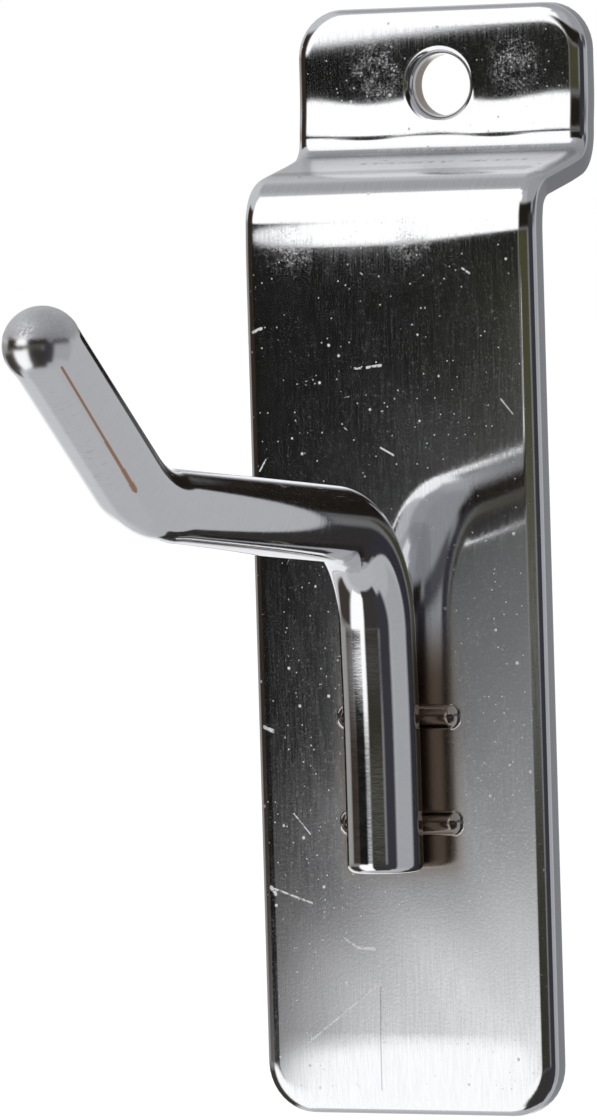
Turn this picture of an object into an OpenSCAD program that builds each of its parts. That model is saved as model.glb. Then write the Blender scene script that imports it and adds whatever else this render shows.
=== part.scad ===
// Slatwall hook: a folded steel strip that hooks into the slot of a slatted wall panel,
// with a bent round wire welded to its front. Millimetres.
// The wall surface is the plane y = 0, the front faces -Y, and z = 0 is the middle of the face.

/* [Back plate] */
// Width of the steel strip
plate_w = 25.4; // [18:0.1:40]
// Thickness of the steel strip
plate_t = 2.1; // [1.5:0.1:3]
// Height of the flat face, from its lower edge to the first fold
face_h = 70.75; // [55:0.05:120]
// Radius of the two lower corners
foot_corner_r = 4; // [2:0.1:9]
// Width of the rolled band that stamping leaves along the front edges
roll_w = 1.3; // [0.4:0.05:1.6]
// Depth of the rolled band at the very edge
roll_d = 0.55; // [0.2:0.05:1]

/* [Fold into the slot] */
// Clear depth between the wall surface and the front of the tab, for the lip of the slot
lip_gap = 8.7; // [6:0.1:14]
// Angle of each of the two folds
fold_angle = 78; // [60:1:88]
// Inner radius of each fold
fold_r = 1.8; // [1:0.1:3]
// Height of the flat tab above the second fold
tab_h = 10.1; // [9:0.1:20]
// Radius of the two upper corners of the tab
tab_corner_r = 3.8; // [2:0.1:5]

/* [Screw hole] */
// Bore of the hole in the tab, for a locking screw
hole_d = 4.9; // [3:0.1:6]
// Depth of the hole's centre below the top edge of the tab
hole_drop = 6.3; // [5:0.1:7]
// Radius of the rolled rim at the front of the hole
hole_rim_r = 0.7; // [0.3:0.05:0.9]

/* [Wire hook] */
// Diameter of the wire
wire_d = 6; // [4:0.1:8]
// Height of the wire's cut lower end above the lower edge of the plate
wire_up = 19.6; // [8:0.1:22]
// Straight length of the leg that is welded to the plate
leg_len = 19.3; // [17:0.1:30]
// Radius of the first bend, at the wire's centre line
arm_bend_r = 8.5; // [6:0.1:14]
// Slope of the arm above level
arm_rise = 5; // [0:0.5:15]
// Straight length of the arm
arm_len = 28.9; // [12:0.1:120]
// Radius of the second bend, at the wire's centre line
tip_bend_r = 12; // [7:0.1:20]
// Slope of the tip above level
tip_rise = 38.7; // [25:0.1:60]
// Straight length of the tip, up to its round end
tip_len = 16; // [8:0.1:25]
// Radius of the broken edge at the wire's lower end
cut_edge_r = 0.6; // [0.2:0.05:1]

/* [Weld ribs] */
// Space between the wire and the plate, held by the ribs
weld_gap = 0.25; // [0.1:0.01:0.4]
// Length of each pressed rib
rib_len = 10.6; // [8:0.1:14]
// Radius of each rib's round section
rib_r = 0.95; // [0.7:0.05:1.2]
// Height of each rib above the face
rib_h = 0.65; // [0.45:0.01:0.7]
// Height of the lower rib above the wire's lower end
rib_up = 3.6; // [2:0.1:6]
// Distance between the two ribs
rib_pitch = 8.4; // [4:0.1:10]
// Depth of the groove that pressing leaves behind each rib
groove_d = 0.5; // [0.2:0.05:0.6]

/* [Hidden] */
$fn = 96;

// Bends are turned to the nearest angle, within a twentieth of a degree, whose sine and cosine
// round to six decimals with the least error, so that each length meets the next one exactly
function six(v) = round(v * 1e6) / 1e6;
function turn_error(a) = abs(pow(six(sin(a)), 2) + pow(six(cos(a)), 2) - 1);
function clean_turn(a) =
    let (
        near = [for (k = [-100:100]) a + k * 0.0005],
        least = min([for (n = near) turn_error(n)])
    )
    [for (n = near) if (turn_error(n) == least) n][0];

front_y = -plate_t;
face_bottom_z = -face_h / 2;
face_top_z = face_h / 2;

// The rolled band is an arc that is tangent to the front face
roll_r = (pow(roll_w, 2) + pow(roll_d, 2)) / (2 * roll_d);

// Folds: both turn by the same angle about the same inner radius
fold_turn = clean_turn(fold_angle);
fold_outer_r = fold_r + plate_t;
fold_reach = (fold_r + fold_outer_r) * (1 - cos(fold_turn));
ledge_len = (lip_gap + plate_t - fold_reach) / sin(fold_turn);
tab_z = face_top_z + (fold_r + fold_outer_r) * sin(fold_turn) + ledge_len * cos(fold_turn);
tab_top_z = tab_z + tab_h;
hole_z = tab_top_z - hole_drop;

// Wire: its centre line lies in the plane x = 0
wire_r = wire_d / 2;
wire_y = front_y - weld_gap - wire_r;
wire_foot_z = face_bottom_z + wire_up;
arm_turn = clean_turn(90 - arm_rise);
tip_turn = clean_turn(tip_rise - arm_rise);

// Ribs: the crown stands above the face, the rest of the round section is inside the sheet
rib_y = front_y + rib_r - rib_h;
rib_low_z = wire_foot_z + rib_up;
rib_zs = [rib_low_z, rib_low_z + rib_pitch];
groove_y = rib_r - groove_d;

// Cuts run past the surfaces that they open by this much
past = 1;

// Cores inside the steel run this far into each length that they join
lap = 0.4;

// Half of the strip's section, from its middle to one rolled edge; y = 0 is the front
module edge_section(reach) {
    square([reach - roll_w, plate_t]);
    translate([reach - roll_w, 0])
        intersection() {
            square([roll_w, plate_t]);
            translate([0, roll_r]) {
                circle(roll_r);
                square([roll_w, plate_t]);
            }
        }
}

module strip_section() {
    edge_section(plate_w / 2);
    mirror([1, 0])
        edge_section(plate_w / 2);
}

// Straight length of strip that rises from its own origin, front towards -Y
module strip(length) {
    linear_extrude(length)
        strip_section();
}

// Core inside the sheet, from just below z = 0 to just above it: it keeps two lengths that
// meet there one piece at any size
module strip_core() {
    translate([-plate_w / 4, plate_t / 3, -lap])
        cube([plate_w / 2, plate_t / 3, 2 * lap]);
}

// Rounded end of the strip, pointing down from z = 0, with the rolled band carried round it
module strip_end(corner_r) {
    half = plate_w / 2 - corner_r;
    core_w = plate_w - corner_r;
    translate([-core_w / 2, plate_t / 3, -corner_r / 3])
        cube([core_w, plate_t / 3, corner_r / 3 + lap]);
    rotate([0, 90, 0])
        translate([0, 0, -half])
            linear_extrude(2 * half)
                edge_section(corner_r);
    for (side = [-1, 1])
        translate([side * half, 0, 0])
            rotate([-90, side > 0 ? 0 : 90, 0])
                rotate_extrude(angle = 90)
                    edge_section(corner_r);
}

// A bend is a ring cut by two planes: the one where it starts and the one where it ends
module above_start(reach) {
    translate([-reach, -reach, 0])
        cube(2 * reach);
}

module below_end(reach) {
    translate([-reach, -reach, -2 * reach])
        cube(2 * reach);
}

// Fold that turns the strip backwards, away from its front
module fold_back() {
    intersection() {
        translate([0, fold_outer_r, 0])
            rotate([90, 0, 90])
                rotate_extrude()
                    translate([fold_outer_r, 0])
                        rotate(90)
                            strip_section();
        above_start(plate_w);
        after_fold_back()
            below_end(plate_w);
    }
}

module after_fold_back() {
    translate([0, fold_outer_r, 0])
        rotate([-fold_turn, 0, 0])
            translate([0, -fold_outer_r, 0])
                children();
}

// Fold that turns the strip forwards, so that it rises again
module fold_up() {
    intersection() {
        translate([0, -fold_r, 0])
            rotate([90, 0, -90])
                rotate_extrude()
                    translate([fold_r, 0])
                        rotate(-90)
                            strip_section();
        above_start(plate_w);
        after_fold_up()
            below_end(plate_w);
    }
}

module after_fold_up() {
    translate([0, -fold_r, 0])
        rotate([fold_turn, 0, 0])
            translate([0, fold_r, 0])
                children();
}

// Tab that stands behind the lip of the slot
module tab() {
    strip(tab_h - tab_corner_r);
    translate([0, 0, tab_h - tab_corner_r])
        mirror([0, 0, 1])
            strip_end(tab_corner_r);
}

// The whole strip, each length placed at the end of the one before
module folded_strip() {
    translate([0, front_y, face_bottom_z + foot_corner_r]) {
        strip_end(foot_corner_r);
        strip(face_h - foot_corner_r);
    }
    translate([0, front_y, face_top_z]) {
        strip_core();
        fold_back();
        after_fold_back() {
            strip_core();
            strip(ledge_len);
            translate([0, 0, ledge_len]) {
                strip_core();
                fold_up();
                after_fold_up() {
                    strip_core();
                    tab();
                }
            }
        }
    }
}

// Round-ended bar along X, turned in one piece
module round_bar(length, radius) {
    straight = length - 2 * radius;
    rotate([0, 90, 0])
        rotate_extrude() {
            translate([0, -straight / 2])
                square([radius, straight]);
            for (side = [-1, 1])
                intersection() {
                    translate([0, side * straight / 2])
                        circle(radius);
                    translate([0, side > 0 ? straight / 2 : -straight / 2 - radius])
                        square(radius);
                }
        }
}

// Screw hole along Y: a straight bore that flares at the front like a rolled edge
module screw_hole() {
    translate([0, lip_gap, hole_z])
        rotate([-90, 0, 0]) {
            translate([0, 0, -past])
                cylinder(h = plate_t + 2 * past, d = hole_d);
            rotate_extrude()
                difference() {
                    translate([0, -past])
                        square([hole_d / 2 + hole_rim_r, hole_rim_r + past]);
                    translate([hole_d / 2 + hole_rim_r, hole_rim_r])
                        circle(hole_rim_r);
                    translate([hole_d / 2 + hole_rim_r, -past])
                        square([hole_rim_r, past]);
                }
        }
}

// Core inside the wire where two lengths meet at z = 0
module wire_core() {
    translate([0, 0, -lap])
        cylinder(h = 2 * lap, r = wire_r / 2);
}

// Wire's leg, from its cut end up to the first bend
module wire_leg() {
    rotate_extrude() {
        translate([0, cut_edge_r])
            square([wire_r, leg_len - cut_edge_r]);
        square([wire_r - cut_edge_r, cut_edge_r]);
        intersection() {
            translate([wire_r - cut_edge_r, cut_edge_r])
                circle(cut_edge_r);
            translate([wire_r - cut_edge_r, 0])
                square(cut_edge_r);
        }
    }
}

// Bend of the wire that starts upwards at its own origin and turns towards -Y
module wire_bend(radius, angle) {
    intersection() {
        translate([0, -radius, 0])
            rotate([90, 0, -90])
                rotate_extrude()
                    translate([radius, 0])
                        circle(wire_r);
        above_start(radius + wire_d);
        after_bend(radius, angle)
            below_end(radius + wire_d);
    }
}

// Places what follows a bend at the bend's end
module after_bend(radius, angle) {
    translate([0, -radius, 0])
        rotate([angle, 0, 0])
            translate([0, radius, 0])
                children();
}

module back_plate() {
    color("gainsboro")
        difference() {
            union() {
                folded_strip();
                for (z = rib_zs)
                    translate([0, rib_y, z])
                        round_bar(rib_len, rib_r);
            }
            for (z = rib_zs)
                translate([0, groove_y, z])
                    round_bar(rib_len, rib_r);
            screw_hole();
            translate([0, wire_y, wire_foot_z])
                cylinder(h = leg_len, r = wire_r);
        }
}

module hook_rod() {
    color("silver")
        translate([0, wire_y, wire_foot_z]) {
            wire_leg();
            translate([0, 0, leg_len]) {
                wire_core();
                wire_bend(arm_bend_r, arm_turn);
                after_bend(arm_bend_r, arm_turn) {
                    wire_core();
                    cylinder(h = arm_len, r = wire_r);
                    translate([0, 0, arm_len])
                        tip();
                }
            }
        }
}

// Upturned end of the wire; it bends the other way, so it is built half a turn round
module tip() {
    rotate([0, 0, 180]) {
        wire_core();
        wire_bend(tip_bend_r, tip_turn);
        after_bend(tip_bend_r, tip_turn) {
            wire_core();
            rotate_extrude() {
                square([wire_r, tip_len]);
                translate([0, tip_len])
                    intersection() {
                        circle(wire_r);
                        square(wire_r);
                    }
            }
        }
    }
}

back_plate();
hook_rod();
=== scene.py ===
import math

import bmesh
import bpy
from mathutils import Matrix, Vector


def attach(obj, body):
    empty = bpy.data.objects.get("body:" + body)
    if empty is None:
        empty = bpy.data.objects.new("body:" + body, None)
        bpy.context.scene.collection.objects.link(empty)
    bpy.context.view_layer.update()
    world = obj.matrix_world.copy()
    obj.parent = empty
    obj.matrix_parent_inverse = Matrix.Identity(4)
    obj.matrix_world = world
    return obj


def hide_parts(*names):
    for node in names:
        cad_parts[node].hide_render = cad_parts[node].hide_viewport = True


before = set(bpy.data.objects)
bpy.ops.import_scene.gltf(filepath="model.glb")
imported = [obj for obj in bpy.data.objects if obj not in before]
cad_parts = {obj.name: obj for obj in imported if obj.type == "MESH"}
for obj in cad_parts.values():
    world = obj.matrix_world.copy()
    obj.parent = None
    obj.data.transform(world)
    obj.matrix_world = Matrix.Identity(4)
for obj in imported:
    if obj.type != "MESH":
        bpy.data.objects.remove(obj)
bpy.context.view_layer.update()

MM = 0.001

# Sizes in millimetres, the same as in the CAD model
PLATE_W = 25.4
PLATE_T = 2.1
FACE_H = 70.75
FOOT_CORNER_R = 4.0
TAB_CORNER_R = 3.8
ROLL_W = 1.3
ROLL_D = 0.55
FOLD_TURN = math.radians(77.9855)
FOLD_MID_R = 2.85
LEDGE_LEN = 6.4273
TAB_H = 10.1
HOLE_R = 2.45
HOLE_RIM_R = 0.7
HOLE_DROP = 6.3
WIRE_R = 3.0
WIRE_Y = -5.35
WIRE_FOOT_Z = -15.775
LEG_LEN = 19.3
ARM_BEND_R = 8.5
ARM_TURN = math.radians(84.9655)
ARM_LEN = 28.9
TIP_BEND_R = 12.0
TIP_TURN = math.radians(33.7125)
TIP_LEN = 16.0
DOME_H = 2.98
CUT_EDGE_R = 0.6
RIB_HALF = 4.35
RIB_R = 0.95
RIB_H = 0.65
GROOVE_D = 0.5
RIB_Z = (-12.175, -3.775)

FRONT_Y = -PLATE_T
FACE_BOTTOM_Z = -FACE_H / 2
FOLD_LEN = FOLD_MID_R * FOLD_TURN
FOLD_1 = FACE_H
LEDGE_1 = FOLD_1 + FOLD_LEN
FOLD_2 = LEDGE_1 + LEDGE_LEN
TAB_1 = FOLD_2 + FOLD_LEN
STRIP_LEN = TAB_1 + TAB_H
HOLE_S = STRIP_LEN - HOLE_DROP


# ---------------------------------------------------------------- small helpers

def clamp(x, low=0.0, high=1.0):
    return max(low, min(high, x))


def lerp(a, b, t):
    return a + (b - a) * t


def smooth_max(a, b, k):
    """Larger of two numbers, with a soft corner of width k."""
    h = clamp(0.5 + 0.5 * (a - b) / k)
    return lerp(b, a, h) + k * h * (1 - h)


def spread(low, high, step):
    """Evenly spaced numbers from low to just before high."""
    count = max(1, round((high - low) / step))
    return [low + (high - low) * i / count for i in range(count)]


def new_object(name, verts, faces, attributes, sharp_angle=None):
    """Mesh object from points in millimetres, with named point vectors."""
    mesh = bpy.data.meshes.new(name)
    mesh.from_pydata([tuple(MM * c for c in v) for v in verts], [], faces)
    for key, values in attributes.items():
        layer = mesh.attributes.new(key, "FLOAT_VECTOR", "POINT")
        layer.data.foreach_set("vector", [c for v in values for c in v])
    bm = bmesh.new()
    bm.from_mesh(mesh)
    bmesh.ops.recalc_face_normals(bm, faces=bm.faces)
    bm.to_mesh(mesh)
    bm.free()
    mesh.shade_smooth()
    obj = bpy.data.objects.new(name, mesh)
    bpy.context.scene.collection.objects.link(obj)
    return obj


# ---------------------------------------------------------------- folded plate

def strip_frame(s):
    """Middle of the sheet at length s from its lower edge, with its rise and back directions."""
    turned = 0.0
    y, z = FRONT_Y + PLATE_T / 2, FACE_BOTTOM_Z + min(s, FOLD_1)
    if s > FOLD_1:
        turned = min((s - FOLD_1) / FOLD_MID_R, FOLD_TURN)
        y += FOLD_MID_R * (1 - math.cos(turned))
        z += FOLD_MID_R * math.sin(turned)
    if s > LEDGE_1:
        run = min(s - LEDGE_1, LEDGE_LEN)
        y += run * math.sin(FOLD_TURN)
        z += run * math.cos(FOLD_TURN)
    if s > FOLD_2:
        back = FOLD_TURN - min((s - FOLD_2) / FOLD_MID_R, FOLD_TURN)
        y += FOLD_MID_R * (math.cos(back) - math.cos(FOLD_TURN))
        z += FOLD_MID_R * (math.sin(FOLD_TURN) - math.sin(back))
        turned = back
    if s > TAB_1:
        z += s - TAB_1
    return (y, z), (math.sin(turned), math.cos(turned)), (math.cos(turned), -math.sin(turned))


def lean(u, s):
    """How far folding has pushed the sheet back from its straight lengths, at a place."""
    onset = 0.12 * math.exp(-((s - FOLD_1 - 0.5) / (1.5 - 0.045 * u)) ** 2)
    wide = 1.88 + 0.22 * math.cos(0.55 * u + 0.4)
    hollow = -0.28 * math.exp(-((s - TAB_1 + 0.3) / wide) ** 2)
    top = max(0.0, s - (STRIP_LEN - 3.6) - 0.09 * u)
    # The tab as a whole stands a little forward, so that its curled top ends at the back's plane
    ahead = -0.195 * clamp((s - FOLD_2 + 2.0) / (TAB_1 - FOLD_2 + 2.0))
    return onset + hollow + ahead + 0.0105 * top * top


def on_strip(u, s, t):
    """Point of the sheet at width u, length s and depth t behind its front."""
    t += lean(u, s)
    s_in = clamp(s, 0, STRIP_LEN)
    (y, z), rise, back = strip_frame(s_in)
    out = s - s_in
    depth = t - PLATE_T / 2
    return (u, y + rise[0] * out + back[0] * depth, z + rise[1] * out + back[1] * depth)


def rib_distance(u, s):
    """Distance to the middle line of the nearer rib, and its height."""
    best = 99.0
    for z in RIB_Z:
        du = max(0.0, abs(u) - RIB_HALF)
        dz = s - (z - FACE_BOTTOM_Z)
        best = min(best, math.hypot(du, dz))
    return best


def pressed(dist, rise):
    """Height of a pressed bar above the sheet, with a soft foot."""
    sink = RIB_R - rise
    inside = min(dist, RIB_R)
    bar = math.sqrt(max(0.0, RIB_R ** 2 - inside ** 2)) - sink - 2.5 * max(0.0, dist - RIB_R)
    return max(0.0, smooth_max(bar, 0.0, 0.22) - 0.22 / 4 * math.exp(-max(0.0, -bar) * 3))


def crown(u, s):
    """Height of the face's slight crown across its width, and of its waves."""
    on_face = clamp((FOLD_1 - s) / 6) * clamp((s - ROLL_W) / 4)
    inner = PLATE_W / 2 - ROLL_W
    waves = 0.004 * math.sin(0.45 * s + 0.25 * u) * math.sin(0.31 * u + 0.8)
    return on_face * (0.15 * (1 - (u / inner) ** 2) + waves * clamp((inner - abs(u)) / 3))


def front_depth(u, s):
    depth = -crown(u, s)
    dist = rib_distance(u, s)
    if dist < 2.2:
        depth -= pressed(dist, RIB_H)
        if abs(u) < WIRE_R:
            depth = max(depth, WIRE_Y + math.sqrt(WIRE_R ** 2 - u * u) - FRONT_Y + 0.01)
    return depth


def back_depth(u, s):
    dist = rib_distance(u, s)
    return PLATE_T - (pressed(dist, GROOVE_D) if dist < 2.2 else 0.0)


def edge_profile():
    """Outward reach and depth of the edge, from the flat front round to the flat back."""
    roll_r = (ROLL_W ** 2 + ROLL_D ** 2) / (2 * ROLL_D)
    turn = math.radians(38)
    nose = (ROLL_W - roll_r * math.sin(turn)) / (1 - math.sin(turn))
    points = []
    for i in range(1, 9):
        a = turn * i / 8
        points.append((roll_r * math.sin(a), roll_r * (1 - math.cos(a))))
    o0, t0 = points[-1]
    for i in range(1, 7):
        a = lerp(turn, math.pi / 2, i / 6)
        points.append((o0 + nose * (math.sin(a) - math.sin(turn)),
                       t0 + nose * (math.cos(turn) - math.cos(a))))
    back_r = 0.2
    points.append((ROLL_W, PLATE_T - back_r - 0.35))
    for i in range(6):
        a = math.pi / 2 * i / 5
        points.append((ROLL_W - back_r * (1 - math.cos(a)),
                       PLATE_T - back_r * (1 - math.sin(a))))
    points.append((ROLL_W - back_r - 0.3, PLATE_T))
    points.append((ROLL_W - back_r - 0.8, PLATE_T))
    return points


FLAT_REACH = 8.4


def columns():
    """Grid lines across the sheet, as shares: (kind, value) from the middle to the edge."""
    lines = [("flat", u) for u in spread(0.0, 3.9, 0.55)]
    lines += [("flat", u) for u in spread(3.9, 5.9, 0.14)]
    lines += [("flat", u) for u in spread(5.9, 8.0, 0.5)]
    lines += [("turn", i / 10) for i in range(11)]
    return [(k, -v) for k, v in reversed(lines[1:])] + lines


def column_u(line, corner_r):
    """Place of a grid line where the sheet's corners have this radius."""
    kind, value = line
    flat = PLATE_W / 2 - corner_r
    if kind == "flat":
        return value * flat / FLAT_REACH
    side = 1 if value > 0 or (value == 0 and math.copysign(1, value) > 0) else -1
    return side * (flat + (corner_r - ROLL_W) * math.sin(math.pi / 2 * abs(value)))


def column_end(line, corner_r):
    """Distance of the inner outline from the sheet's end, along a grid line."""
    kind, value = line
    if kind == "flat":
        return ROLL_W
    return corner_r - (corner_r - ROLL_W) * math.cos(math.pi / 2 * abs(value))


def row_levels():
    """Straight rows of the grid, between the two rounded ends."""
    low, high = FOOT_CORNER_R + 0.8, STRIP_LEN - TAB_CORNER_R - 0.1
    marks = []
    ribs = [z - FACE_BOTTOM_Z for z in RIB_Z]
    marks += spread(low, ribs[0] - 1.7, 0.9)
    marks += spread(ribs[0] - 1.7, ribs[0] + 1.7, 0.13)
    marks += spread(ribs[0] + 1.7, ribs[1] - 1.7, 0.8)
    marks += spread(ribs[1] - 1.7, ribs[1] + 1.7, 0.13)
    marks += spread(ribs[1] + 1.7, FOLD_1 - 2, 0.9)
    marks += spread(FOLD_1 - 2, LEDGE_1 + 1.5, 0.14)
    marks += spread(LEDGE_1 + 1.5, FOLD_2 - 1.5, 0.4)
    marks += spread(FOLD_2 - 1.5, TAB_1 - 0.05, 0.14)
    marks += spread(TAB_1 - 0.05, high, 0.36)
    return marks + [high]


def build_plate():
    lines = columns()
    levels = row_levels()
    low_rows, high_rows = 5, 7
    grid = []
    for i in range(low_rows):
        row = []
        for line in lines:
            start = column_end(line, FOOT_CORNER_R)
            row.append((column_u(line, FOOT_CORNER_R), lerp(start, levels[0], i / low_rows)))
        grid.append(row)
    for s in levels:
        share = clamp((s - levels[0]) / (levels[-1] - levels[0]))
        grid.append([(lerp(column_u(line, FOOT_CORNER_R), column_u(line, TAB_CORNER_R), share), s)
                     for line in lines])
    for i in range(1, high_rows + 1):
        row = []
        for line in lines:
            end = STRIP_LEN - column_end(line, TAB_CORNER_R)
            row.append((column_u(line, TAB_CORNER_R), lerp(levels[-1], end, i / high_rows)))
        grid.append(row)
    n_rows, n_cols = len(grid), len(lines)

    verts, flat, faces = [], [], []

    def add(u, s, t):
        verts.append(on_strip(u, s, t))
        flat.append((u, s, t))
        return len(verts) - 1

    # Block of the grid that the hole takes out
    half = 4.0
    i0 = min(range(n_rows), key=lambda i: abs(grid[i][n_cols // 2][1] - (HOLE_S - half)))
    i1 = min(range(n_rows), key=lambda i: abs(grid[i][n_cols // 2][1] - (HOLE_S + half)))
    j0 = min(range(n_cols), key=lambda j: abs(grid[i0][j][0] + half))
    j1 = min(range(n_cols), key=lambda j: abs(grid[i0][j][0] - half))

    def sheet(depth):
        ids = [[add(u, s, depth(u, s)) for u, s in row] for row in grid]
        for i in range(n_rows - 1):
            for j in range(n_cols - 1):
                if i0 <= i < i1 and j0 <= j < j1:
                    continue
                faces.append((ids[i][j], ids[i][j + 1], ids[i + 1][j + 1], ids[i + 1][j]))
        return ids

    front = sheet(front_depth)
    back = sheet(back_depth)

    def outline(ids):
        loop = [ids[0][j] for j in range(n_cols)]
        loop += [ids[i][-1] for i in range(1, n_rows)]
        loop += [ids[-1][j] for j in range(n_cols - 2, -1, -1)]
        loop += [ids[i][0] for i in range(n_rows - 2, 0, -1)]
        return loop

    def outward(u, s):
        """Direction away from the sheet at a point of its inner outline."""
        for corner_r, end in ((FOOT_CORNER_R, 0.0), (TAB_CORNER_R, STRIP_LEN)):
            toward = 1 if end == 0.0 else -1
            cu = PLATE_W / 2 - corner_r
            cs = end + toward * corner_r
            if (s - cs) * toward < 1e-6:
                if abs(u) <= cu + 1e-6:
                    if abs(abs(s - end) - ROLL_W) < 1e-4:
                        return (0.0, -toward)
                else:
                    d = Vector((u - math.copysign(cu, u), s - cs)).normalized()
                    return (d.x, d.y)
        return (math.copysign(1.0, u), 0.0)

    front_loop, back_loop = outline(front), outline(back)
    inner = [(flat[v][0], flat[v][1]) for v in front_loop]
    ways = [outward(u, s) for u, s in inner]
    # The sides of the grid are moved onto the straight edge's own inner line
    rings = [front_loop]
    for reach, depth in edge_profile():
        rings.append([add(u + w[0] * reach, s + w[1] * reach, depth)
                      for (u, s), w in zip(inner, ways)])
    rings.append(back_loop)
    count = len(front_loop)
    for a, b in zip(rings, rings[1:]):
        for k in range(count):
            m = (k + 1) % count
            faces.append((a[k], b[k], b[m], a[m]))

    # Hole: rings from the block's border to the flared rim, down the bore and out to the back
    def border(ids):
        loop = [ids[i0][j] for j in range(j0, j1)]
        loop += [ids[i][j1] for i in range(i0, i1)]
        loop += [ids[i1][j] for j in range(j1, j0, -1)]
        loop += [ids[i][j0] for i in range(i1, i0, -1)]
        return loop

    outer_front, outer_back = border(front), border(back)
    angles = [math.atan2(flat[v][1] - HOLE_S, flat[v][0]) for v in outer_front]

    def ring_between(loop, radius, depth, share):
        made = []
        for v, a in zip(loop, angles):
            cu, cs = radius * math.cos(a), HOLE_S + radius * math.sin(a)
            made.append(add(lerp(flat[v][0], cu, share), lerp(flat[v][1], cs, share), depth))
        return made

    rim_r = HOLE_R + HOLE_RIM_R
    hole_rings = [outer_front]
    for share in (0.3, 0.6, 0.85, 1.0):
        hole_rings.append(ring_between(outer_front, rim_r, 0.0, share))
    for i in range(1, 9):
        a = math.pi / 2 * i / 8
        hole_rings.append(ring_between(outer_front, rim_r - HOLE_RIM_R * math.sin(a),
                                       HOLE_RIM_R * (1 - math.cos(a)), 1.0))
    for depth in (1.0, 1.5, PLATE_T - 0.12):
        hole_rings.append(ring_between(outer_front, HOLE_R, depth, 1.0))
    for reach, depth in ((0.035, PLATE_T - 0.035), (0.12, PLATE_T)):
        hole_rings.append(ring_between(outer_front, HOLE_R + reach, depth, 1.0))
    for share in (0.85, 0.5):
        hole_rings.append(ring_between(outer_back, HOLE_R + 0.12, PLATE_T, share))
    hole_rings.append(outer_back)
    count = len(outer_front)
    for a, b in zip(hole_rings, hole_rings[1:]):
        for k in range(count):
            m = (k + 1) % count
            faces.append((a[k], b[k], b[m], a[m]))

    used = sorted({v for f in faces for v in f})
    index = {v: k for k, v in enumerate(used)}
    obj = new_object("folded_plate", [verts[v] for v in used],
                     [tuple(index[v] for v in f) for f in faces],
                     {"flat": [flat[v] for v in used]})
    return obj


# ---------------------------------------------------------------- bent wire

def bow(s):
    """How far the leg stands forward of its straight line, where it goes over into the bend."""
    return 0.35 * math.exp(-((s - LEG_LEN - 2.5) / 7.0) ** 2)


def wire_frame(s):
    """Point on the wire's centre line at length s, with its run and lower side directions."""
    y, z = WIRE_Y - bow(s), WIRE_FOOT_Z
    run = min(s, LEG_LEN)
    z += run
    turned = 0.0
    left = s - LEG_LEN
    if left > 0:
        turned = min(left / ARM_BEND_R, ARM_TURN)
        y -= ARM_BEND_R * (1 - math.cos(turned))
        z += ARM_BEND_R * math.sin(turned)
        left -= ARM_BEND_R * ARM_TURN
    if left > 0:
        run = min(left, ARM_LEN)
        y -= run * math.sin(ARM_TURN)
        z += run * math.cos(ARM_TURN)
        left -= ARM_LEN
    if left > 0:
        back = min(left / TIP_BEND_R, TIP_TURN)
        turned = ARM_TURN - back
        y -= TIP_BEND_R * (math.cos(turned) - math.cos(ARM_TURN))
        z += TIP_BEND_R * (math.sin(ARM_TURN) - math.sin(turned))
        left -= TIP_BEND_R * TIP_TURN
    if left > 0:
        y -= left * math.sin(turned)
        z += left * math.cos(turned)
    return (y, z), (-math.sin(turned), math.cos(turned)), (-math.cos(turned), -math.sin(turned))


WIRE_LEN = LEG_LEN + ARM_BEND_R * ARM_TURN + ARM_LEN + TIP_BEND_R * TIP_TURN + TIP_LEN


def wire_rings():
    """Length along the wire and radius of each ring."""
    rings = []
    for i in range(7):
        a = math.pi / 2 * i / 6
        rings.append((CUT_EDGE_R * (1 - math.sin(a)), WIRE_R - CUT_EDGE_R * (1 - math.cos(a))))
    rings = [(0.0, WIRE_R * 0.35), (0.0, WIRE_R * 0.6)] + rings[::-1]
    marks = spread(CUT_EDGE_R + 0.3, LEG_LEN, 0.45)
    marks += spread(LEG_LEN, LEG_LEN + ARM_BEND_R * ARM_TURN, 0.3)
    start = LEG_LEN + ARM_BEND_R * ARM_TURN
    marks += spread(start, start + ARM_LEN, 0.45)
    start += ARM_LEN
    marks += spread(start, start + TIP_BEND_R * TIP_TURN, 0.3)
    start += TIP_BEND_R * TIP_TURN
    marks += spread(start, WIRE_LEN, 0.4)
    rings += [(m, WIRE_R) for m in marks]
    for i in range(19):
        a = math.pi / 2 * i / 19
        rings.append((WIRE_LEN + DOME_H * math.sin(a), WIRE_R * math.cos(a)))
    return rings


def build_wire():
    sides = 96
    verts, flat, faces = [], [], []

    def point(s, radius, k):
        (y, z), _, low = wire_frame(s)
        a = 2 * math.pi * k / sides
        verts.append((radius * math.cos(a), y + low[0] * radius * math.sin(a),
                      z + low[1] * radius * math.sin(a)))
        flat.append((radius * math.cos(a), radius * math.sin(a), s))
        return len(verts) - 1

    rings = [[point(s, radius, k) for k in range(sides)] for s, radius in wire_rings()]
    for a, b in zip(rings, rings[1:]):
        for k in range(sides):
            m = (k + 1) % sides
            faces.append((a[k], a[m], b[m], b[k]))
    for s, ring in ((0.0, rings[0]), (WIRE_LEN + DOME_H, rings[-1])):
        (y, z), _, _ = wire_frame(s)
        verts.append((0.0, y, z))
        flat.append((0.0, 0.0, s))
        tip = len(verts) - 1
        for k in range(sides):
            faces.append((ring[k], ring[(k + 1) % sides], tip))
    return new_object("bent_wire", verts, faces, {"flat": flat})


# ---------------------------------------------------------------- materials

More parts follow.
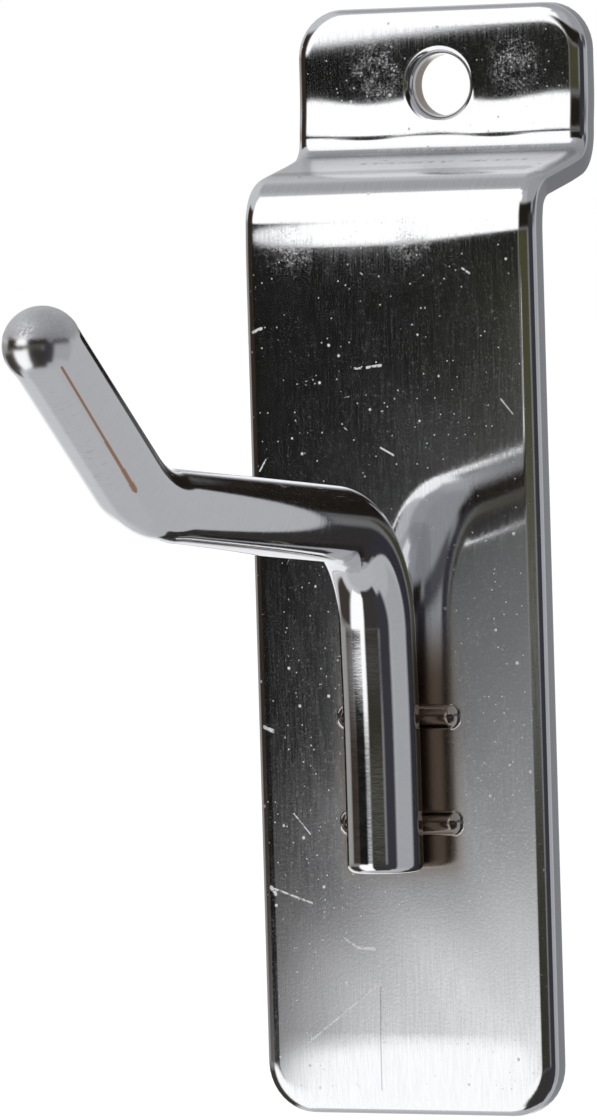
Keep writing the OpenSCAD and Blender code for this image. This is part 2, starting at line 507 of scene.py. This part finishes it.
class Nodes:
    """Short way to add linked nodes to a node tree."""

    def __init__(self, tree):
        self.tree = tree
        tree.nodes.clear()

    def add(self, kind, settings=None, **inputs):
        node = self.tree.nodes.new("ShaderNode" + kind)
        for key, value in (settings or {}).items():
            setattr(node, key, value)
        for key, value in inputs.items():
            socket = node.inputs[int(key[1:])] if key[0] == "i" and key[1:].isdigit() \
                else node.inputs[key.replace("_", " ")]
            self.put(socket, value)
        return node

    def put(self, socket, value):
        if isinstance(value, bpy.types.NodeSocket):
            self.tree.links.new(value, socket)
        elif isinstance(value, bpy.types.Node):
            self.tree.links.new(value.outputs[0], socket)
        else:
            socket.default_value = value

    def math(self, operation, a, b=0.0, c=0.0):
        return self.add("Math", {"operation": operation}, i0=a, i1=b, i2=c).outputs[0]

    def ramp(self, value, low, high, start=0.0, end=1.0):
        """Soft step of value from low to high."""
        return self.add("MapRange", {"interpolation_type": "SMOOTHSTEP"}, i0=value, i1=low,
                        i2=high, i3=start, i4=end).outputs[0]

    def vector(self, operation, a, b=(0.0, 0.0, 0.0)):
        node = self.add("VectorMath", {"operation": operation}, i0=a, i1=b)
        return node.outputs[1 if operation in ("DOT_PRODUCT", "LENGTH") else 0]

    def mix(self, share, a, b):
        node = self.add("Mix", {"data_type": "RGBA"})
        self.put(node.inputs[0], share)
        self.put(node.inputs[6], a)
        self.put(node.inputs[7], b)
        return node.outputs[2]

    def noise(self, vector, scale, detail=3.0, roughness=0.5):
        return self.add("TexNoise", Vector=vector, Scale=scale, Detail=detail,
                        Roughness=roughness).outputs[0]

    def scaled(self, vector, scale, shift=(0.0, 0.0, 0.0)):
        return self.add("Mapping", Vector=vector, Scale=scale, Location=shift).outputs[0]


def new_material(name):
    material = bpy.data.materials.new(name)
    material.use_nodes = True
    return material, Nodes(material.node_tree)


def scratches(n, flat, angle, density, width, seed):
    """Thin straight marks at one angle: a stretched cell pattern, cut into short lengths."""
    turned = n.add("Mapping", Vector=flat, Rotation=(0.0, 0.0, angle),
                   Location=(seed, seed * 2.3, seed * 0.7)).outputs[0]
    long = n.scaled(turned, (density, density * 0.16, density * 0.16))
    cells = n.add("TexVoronoi", {"feature": "F1"}, Vector=long, Scale=1.0, Randomness=1.0)
    near = n.ramp(cells.outputs["Distance"], width, width * 0.3)
    pick = n.add("SeparateColor", Color=cells.outputs["Color"]).outputs[0]
    return n.math("MULTIPLY", near, n.ramp(pick, 0.86, 0.90))


def stroke(n, place, start, end, width):
    """One straight mark between two places."""
    start, end = Vector(start), Vector(end)
    along = end - start
    from_start = n.vector("SUBTRACT", place, tuple(start))
    share = n.vector("DOT_PRODUCT", from_start, tuple(along / along.length_squared))
    share = n.add("Clamp", Value=share).outputs[0]
    foot = n.add("VectorMath", {"operation": "SCALE"}, i0=tuple(along), Scale=share).outputs[0]
    gap = n.vector("LENGTH", n.vector("SUBTRACT", from_start, foot))
    return n.ramp(gap, width, width * 0.4)


def blob(n, place, centre, radius):
    """Soft round patch."""
    return n.ramp(n.vector("LENGTH", n.vector("SUBTRACT", place, centre)), radius, radius * 0.3)


def most(n, masks):
    """Strongest of several masks."""
    total = masks[0]
    for mask in masks[1:]:
        total = n.math("MAXIMUM", total, mask)
    return total


# Marks in the plate's chrome, each from and to (across, up from the foot), and its width
PLATE_SCRATCHES = [
    ((-8.9, 5.6), (-2.35, 10.4), 0.09),
    ((-2.3, 10.4), (-2.1, 8.6), 0.06),
    ((-11.4, 17.9), (-8.1, 16.8), 0.10),
    ((-11.75, 18.0), (-11.3, 17.5), 0.22),
    ((-5.4, 14.1), (-4.2, 13.3), 0.08),
    ((-4.2, 13.3), (-2.7, 13.2), 0.16),
    ((-12.0, 30.8), (-11.2, 30.5), 0.20),
    ((-9.5, 23.9), (-8.1, 22.3), 0.07),
    ((-1.9, 59.25), (-0.7, 59.4), 0.14),
    ((-3.0, 59.2), (-2.4, 59.2), 0.12),
    ((-12.0, 62.2), (-11.2, 62.5), 0.17),
    ((6.6, 66.9), (7.2, 66.5), 0.10),
    ((-11.7, 51.2), (-11.0, 52.2), 0.10),
    ((9.6, 56.6), (10.6, 55.4), 0.08),
    ((-0.9, 52.9), (0.2, 52.3), 0.10),
]
# Worn, frosty patches: (across, up from the foot), radius
PLATE_FROST = [((-5.6, 89.8), 3.4), ((6.6, 90.2), 3.2), ((-8.6, 69.0), 3.0), ((2.0, 69.5), 2.5)]


def plate_wear(n, flat, sheet):
    """Specks and scratches, frosty patches, and the thin dark line."""
    cells = n.add("TexVoronoi", {"feature": "F1"}, Vector=flat, Scale=1.15, Randomness=1.0)
    chosen = n.add("SeparateColor", Color=cells.outputs["Color"]).outputs[0]
    large = n.math("MULTIPLY", n.ramp(cells.outputs["Distance"], 0.20, 0.08),
                   n.ramp(chosen, 0.91, 0.94))
    cells = n.add("TexVoronoi", {"feature": "F1"}, Vector=flat, Scale=3.1, Randomness=1.0)
    chosen = n.add("SeparateColor", Color=cells.outputs["Color"]).outputs[1]
    small = n.math("MULTIPLY", n.ramp(cells.outputs["Distance"], 0.26, 0.10),
                   n.ramp(chosen, 0.875, 0.915, 0.0, 0.55))
    lines = [stroke(n, sheet, (*a, 0.0), (*b, 0.0), w) for a, b, w in PLATE_SCRATCHES]
    lines += [n.math("MULTIPLY", scratches(n, sheet, turn, 1.6, 0.09, seed), 0.7)
              for turn, seed in ((0.5, 3.0), (-0.9, 11.0), (1.4, 23.0))]
    broken = n.ramp(n.noise(flat, 2.3, 4.0, 0.7), 0.40, 0.56, 0.15, 1.0)
    nicks = n.math("MULTIPLY", most(n, lines), broken)
    nicks = most(n, [large, small, nicks])
    frost = most(n, [blob(n, sheet, (*c, 0.0), r) for c, r in PLATE_FROST])
    frost = n.math("MULTIPLY", frost, n.ramp(n.noise(flat, 0.9, 4.0, 0.7), 0.36, 0.62))
    # Press marks in the groove under the tab: two dotted bright lines over a dark one
    for along, share in ((82.25, 0.9), (78.3, 0.6)):
        dots = n.ramp(n.noise(n.scaled(flat, (1.7, 0.05, 0.0)), 1.0, 3.0, 0.7), 0.45, 0.60)
        mark = stroke(n, sheet, (-5.0, along, 0.0), (9.5, along, 0.0), 0.42)
        nicks = n.math("MAXIMUM", nicks, n.math("MULTIPLY", n.math("MULTIPLY", mark, dots), share))
    dark_line = stroke(n, sheet, (-2.25, 10.2, 0.0), (-2.45, 2.0, 0.0), 0.07)
    groove = stroke(n, sheet, (-11.0, 75.2, 0.0), (10.5, 75.2, 0.0), 0.9)
    return nicks, frost, n.math("MAXIMUM", dark_line, groove)


def chrome_plate():
    material, n = new_material("satin_chrome")
    flat = n.add("Attribute", {"attribute_name": "flat"}).outputs["Vector"]
    sheet = n.vector("MULTIPLY", flat, (1.0, 1.0, 0.0))
    split = n.add("SeparateXYZ", Vector=flat)
    across, up, depth = split.outputs[0], split.outputs[1], split.outputs[2]
    brushed = n.noise(n.scaled(flat, (9.0, 0.35, 9.0)), 1.0, 4.0, 0.6)
    grain = n.noise(flat, 4.5, 3.0, 0.7)
    nicks, frost, dark_line = plate_wear(n, flat, sheet)
    front = n.ramp(depth, 1.2, 0.8)
    nicks, dark_line = n.math("MULTIPLY", nicks, front), n.math("MULTIPLY", dark_line, front)
    # Painted shade: the sheet's side walls and the bore of the hole are given a dark grey chrome,
    # and more roughness
    painted_shade_walls = n.math("MULTIPLY", n.ramp(depth, 0.66, 0.85), n.ramp(depth, 2.09, 2.05))
    bore = blob(n, sheet, (0.0, HOLE_S, 0.0), 4.6)
    bore = n.math("MULTIPLY", bore, painted_shade_walls)
    # Painted shade: the ledge, which faces up, is given a darker grey chrome, and more roughness
    painted_shade_ledge = n.math("MULTIPLY", n.ramp(up, LEDGE_1 - 1.5, LEDGE_1), n.ramp(up, TAB_1 - 1.0, FOLD_2))
    # Painted reflection of the wire: a dark brown patch on the plate's front behind the leg,
    # around the ribs, with more roughness
    painted_wire_reflection = n.math("MULTIPLY", n.ramp(n.math("ABSOLUTE", across), 6.4, 4.2),
                        n.math("MULTIPLY", n.ramp(up, 17.6, 20.6), n.ramp(up, 43.0, 33.0)))
    painted_wire_reflection = n.math("MULTIPLY", painted_wire_reflection, n.ramp(depth, 0.3, 0.1))

    rough = n.math("ADD", n.ramp(brushed, 0.3, 0.75, 0.052, 0.098),
                   n.ramp(grain, 0.52, 0.74, 0.0, 0.06))
    worn = n.math("MULTIPLY", frost, n.ramp(grain, 0.36, 0.70, 0.02, 0.20))
    rough = n.math("ADD", rough, worn)
    rough = n.math("ADD", rough, n.math("MULTIPLY", nicks, 0.45))
    rough = n.math("ADD", rough, n.math("MULTIPLY", painted_shade_walls, 0.16))
    rough = n.math("ADD", rough, n.math("MULTIPLY", painted_shade_ledge, 0.22))
    rough = n.math("ADD", rough, n.math("MULTIPLY", painted_wire_reflection, 0.10))
    height = n.math("ADD", n.math("MULTIPLY", brushed, 0.0006),
                    n.math("MULTIPLY", grain, 0.0007))
    bump = n.add("Bump", Strength=1.0, Distance=MM, Height=height)
    colour = n.mix(n.ramp(brushed, 0.3, 0.7), (0.80, 0.805, 0.825, 1), (0.74, 0.745, 0.76, 1))
    colour = n.mix(nicks, colour, (0.95, 0.95, 0.95, 1))
    # Painted shade: darker grey on the ledge
    colour = n.mix(painted_shade_ledge, colour, (0.60, 0.60, 0.61, 1))
    # Painted shade: dark grey on the side walls and the bore
    colour = n.mix(painted_shade_walls, colour, (0.36, 0.36, 0.38, 1))
    colour = n.mix(bore, colour, (0.42, 0.33, 0.26, 1))
    # Painted reflection of the wire: dark brown behind the leg
    colour = n.mix(n.math("MULTIPLY", painted_wire_reflection, 0.85), colour, (0.28, 0.22, 0.17, 1))
    colour = n.mix(n.math("MULTIPLY", dark_line, 0.5), colour, (0.2, 0.2, 0.2, 1))
    shader = n.add("BsdfPrincipled", Base_Color=colour, Metallic=1.0, Roughness=rough,
                   Normal=bump.outputs[0])
    n.add("OutputMaterial", Surface=shader.outputs[0])
    return material


def dome_top(n, low_side, along):
    """Worn upper half of the wire's domed end."""
    turn = ARM_TURN - TIP_TURN
    lift = n.math("ADD", n.math("MULTIPLY", low_side, -math.sin(turn) / WIRE_R),
                  n.math("MULTIPLY", n.math("SUBTRACT", along, WIRE_LEN),
                         math.cos(turn) / WIRE_R))
    return n.math("MULTIPLY", n.ramp(along, WIRE_LEN - 0.1, WIRE_LEN + 0.5),
                  n.ramp(lift, 0.12, 0.34))


def chrome_wire():
    material, n = new_material("bright_chrome")
    flat = n.add("Attribute", {"attribute_name": "flat"}).outputs["Vector"]
    split = n.add("SeparateXYZ", Vector=flat)
    low_side, along = split.outputs[1], split.outputs[2]
    drawn = n.noise(n.scaled(flat, (0.9, 0.9, 2.6)), 1.0, 4.0, 0.7)
    rings = n.noise(n.scaled(flat, (0.5, 0.5, 9.0)), 1.0, 3.0, 0.6)
    grain = n.noise(flat, 5.0, 3.0, 0.7)
    worn = dome_top(n, low_side, along)
    line = most(n, [stroke(n, flat, (2.24, 2.0, 83.9), (2.05, 2.18, 68.8), 0.14),
                    stroke(n, flat, (2.12, 2.12, 75.0), (2.05, 2.18, 68.9), 0.18),
                    stroke(n, flat, (2.09, 2.15, 71.5), (2.05, 2.18, 69.0), 0.23),
                    stroke(n, flat, (2.07, 2.17, 69.8), (2.05, 2.18, 69.1), 0.29)])
    beside = stroke(n, flat, (0.9, 2.9, 81.5), (0.6, 2.95, 70.0), 1.1)
    nicked = n.noise(n.add("Mapping", Vector=flat, Rotation=(0.5, 0.4, 0.0),
                           Scale=(1.2, 1.2, 4.2)).outputs[0], 1.0, 3.0, 0.7)
    marks = n.math("MULTIPLY", beside, n.ramp(nicked, 0.60, 0.68))
    on_arm = n.math("MULTIPLY", n.ramp(along, 30.0, 38.0), n.ramp(along, 66.0, 56.0))
    hair = n.noise(n.add("Mapping", Vector=flat, Rotation=(0.25, 0.15, 0.0),
                         Scale=(0.35, 0.35, 14.0)).outputs[0], 1.0, 3.0, 0.7)
    fine = n.math("MULTIPLY", on_arm, n.ramp(hair, 0.60, 0.68, 0.0, 0.5))
    # Painted shade: the leg's side that faces the plate is given a brown, darker chrome, and more
    # roughness
    painted_shade_toward_plate = n.math("MULTIPLY", n.ramp(low_side, 0.6, -0.8), n.ramp(along, 20.0, 15.0))

    rough = n.ramp(drawn, 0.3, 0.8, 0.04, 0.09)
    rough = n.math("ADD", rough, n.ramp(along, WIRE_LEN, WIRE_LEN + 0.8, 0.0, 0.15))
    rough = n.math("ADD", rough, n.math("MULTIPLY", worn, n.ramp(grain, 0.38, 0.6, 0.18, 0.50)))
    rough = n.math("ADD", rough, n.math("MULTIPLY", line, 0.30))
    rough = n.math("ADD", rough, n.math("MULTIPLY", fine, 0.30))
    rough = n.math("ADD", rough, n.math("MULTIPLY", painted_shade_toward_plate, 0.12))
    height = n.math("ADD", n.math("MULTIPLY", drawn, 0.0025), n.math("MULTIPLY", rings, 0.0005))
    height = n.math("ADD", height, n.math("MULTIPLY", grain, 0.0006))
    bump = n.add("Bump", Strength=1.0, Distance=MM, Height=height)
    colour = n.mix(n.ramp(drawn, 0.3, 0.7), (0.77, 0.775, 0.79, 1), (0.80, 0.80, 0.81, 1))
    colour = n.mix(line, colour, (0.50, 0.30, 0.20, 1))
    colour = n.mix(n.math("MULTIPLY", marks, 0.6), colour, (0.42, 0.42, 0.43, 1))
    # Painted shade: brown on the leg's side toward the plate
    colour = n.mix(n.math("MULTIPLY", painted_shade_toward_plate, 0.8), colour, (0.40, 0.31, 0.23, 1))
    shader = n.add("BsdfPrincipled", Base_Color=colour, Metallic=1.0, Roughness=rough,
                   Normal=bump.outputs[0])
    n.add("OutputMaterial", Surface=shader.outputs[0])
    return material


# ---------------------------------------------------------------- studio

# Zones of the studio's walls, mixed in this order: azimuth from and to, with its soft width,
# height from and to, with its soft width, then the light that the zone gives off.
# Azimuth 0 is in front of the plate (-Y), 90 is to its right (+X); both in degrees.
ZONES = [
    # pale left side of the room, overhead, right side and below
    (-158, -24, 40, -95, 95, 1, (0.66, 0.665, 0.68)),
    (-200, 200, 4, 58, 95, 12, (0.42, 0.425, 0.44)),
    (20, 150, 20, 12, 95, 10, (0.38, 0.385, 0.40)),
    (-200, 200, 4, -95, -60, 12, (0.52, 0.525, 0.54)),
    # bright corner behind on the left
    (-168, -128, 12, -45, 4, 10, (1.2, 1.2, 1.2)),
    # pale wall at the left
    (-132, -86, 10, -10, 5, 6, (0.36, 0.355, 0.34)),
    # high front softbox
    (-50, -19, 6, 4.5, 57, 3, (1.35, 1.35, 1.35)),
    (-50, -8, 10, 30, 46, 10, (1.35, 1.35, 1.35)),
    # left front, brown, with a dark gap beside the softbox
    (-88, -53, 12, -7, 25, 7, (0.040, 0.027, 0.018)),
    (-112, -64, 12, -46, -8, 8, (0.055, 0.046, 0.038)),
    (-58, -19, 7, -7, 4.5, 2, (0.010, 0.010, 0.009)),
    # front, green-brown, and the dark above it and below it
    (-20, 28, 12, -3.1, 4.5, 3, (0.072, 0.070, 0.036)),
    (-20, 28, 9, -8, -3.1, 2, (0.040, 0.038, 0.026)),
    (-16, 46, 10, 4.5, 27, 8, (0.018, 0.014, 0.010)),
    (-20, 46, 10, -60, -7, 5, (0.045, 0.042, 0.040)),
    # low front: a faint glow over the white cards
    (-25.5, -14, 8, -50, -2.3, 2.6, (0.24, 0.245, 0.25)),
    (-60, -18, 8, -54, -7, 2.5, (1.25, 1.25, 1.25)),
    (-28.5, -15, 7, -50, -4.9, 2.6, (1.25, 1.25, 1.25)),
    # right front
    (30, 62, 12, -45, 14, 8, (0.045, 0.044, 0.054)),
    # right, pale low and dark above
    (66, 118, 16, -32, 6, 8, (0.42, 0.43, 0.45)),
    (56, 112, 12, 6, 25, 10, (0.10, 0.10, 0.11)),
]
BASE_LIGHT = (0.50, 0.505, 0.52)


def build_studio():
    scene = bpy.context.scene
    world = bpy.data.worlds.new("white_room")
    scene.world = world
    world.use_nodes = True
    n = Nodes(world.node_tree)
    n.add("OutputWorld", Surface=n.add("Background", Color=(1, 1, 1, 1), Strength=1.0).outputs[0])

    bpy.ops.mesh.primitive_ico_sphere_add(subdivisions=3, radius=20.0)
    tent = bpy.context.object
    tent.name = "studio_tent"
    tent.visible_camera = False
    tent.visible_shadow = False
    material, n = new_material("studio_walls")
    place = n.add("TexCoord").outputs["Object"]
    way = n.add("VectorMath", {"operation": "NORMALIZE"}, i0=place).outputs[0]
    parts = n.add("SeparateXYZ", Vector=way)
    az = n.math("DEGREES", n.math("ARCTAN2", parts.outputs[0],
                                  n.math("MULTIPLY", parts.outputs[1], -1.0)))
    el = n.math("DEGREES", n.math("ARCSINE", parts.outputs[2]))
    colour = (*BASE_LIGHT, 1)
    for a0, a1, aw, e0, e1, ew, light in ZONES:
        share = n.math("MULTIPLY", n.ramp(az, a0 - aw / 2, a0 + aw / 2),
                       n.ramp(az, a1 + aw / 2, a1 - aw / 2))
        share = n.math("MULTIPLY", share, n.ramp(el, e0 - ew / 2, e0 + ew / 2))
        share = n.math("MULTIPLY", share, n.ramp(el, e1 + ew / 2, e1 - ew / 2))
        colour = n.mix(share, colour, (*light, 1))
    glow = n.add("Emission", Color=colour, Strength=1.0)
    n.add("OutputMaterial", Surface=glow.outputs[0])
    tent.data.materials.append(material)

    bpy.ops.mesh.primitive_plane_add(size=16.0, location=(0, 0, -0.12))
    floor = bpy.context.object
    floor.name = "floor"
    floor.visible_glossy = False
    material, n = new_material("pale_floor")
    matte = n.add("BsdfDiffuse", Color=(0.86, 0.86, 0.86, 1))
    lift = n.add("Emission", Color=(1, 1, 1, 1), Strength=0.62)
    both = n.add("AddShader", i0=matte.outputs[0], i1=lift.outputs[0])
    n.add("OutputMaterial", Surface=both.outputs[0])
    floor.data.materials.append(material)


# ---------------------------------------------------------------- camera

CAMERA_AT = Vector((0.318063, -0.665792, 0.038067))
CAMERA_RIGHT = Vector((0.897407, 0.440269, -0.028689))
CAMERA_UP = Vector((0.008262, 0.048245, 0.998801))
CAMERA_LENS = 299.87
SENSOR_HEIGHT = 36.0


def build_camera():
    data = bpy.data.cameras.new("photo_camera")
    data.sensor_fit = "VERTICAL"
    data.sensor_height = SENSOR_HEIGHT
    data.lens = CAMERA_LENS
    data.clip_start, data.clip_end = 0.01, 100.0
    camera = bpy.data.objects.new("photo_camera", data)
    bpy.context.scene.collection.objects.link(camera)
    right = CAMERA_RIGHT.normalized()
    up = (CAMERA_UP - right * CAMERA_UP.dot(right)).normalized()
    turn = Matrix((right, up, right.cross(up))).transposed()
    camera.matrix_world = Matrix.Translation(CAMERA_AT) @ turn.to_4x4()
    bpy.context.scene.camera = camera


# ---------------------------------------------------------------- assembly

def main():
    scene = bpy.context.scene
    scene.view_settings.view_transform = "Standard"
    build_camera()
    build_studio()

    plate = build_plate()
    plate.data.materials.append(chrome_plate())
    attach(plate, "root")
    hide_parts("back_plate")

    wire = build_wire()
    wire.data.materials.append(chrome_wire())
    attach(wire, "root")
    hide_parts("hook_rod")


main()
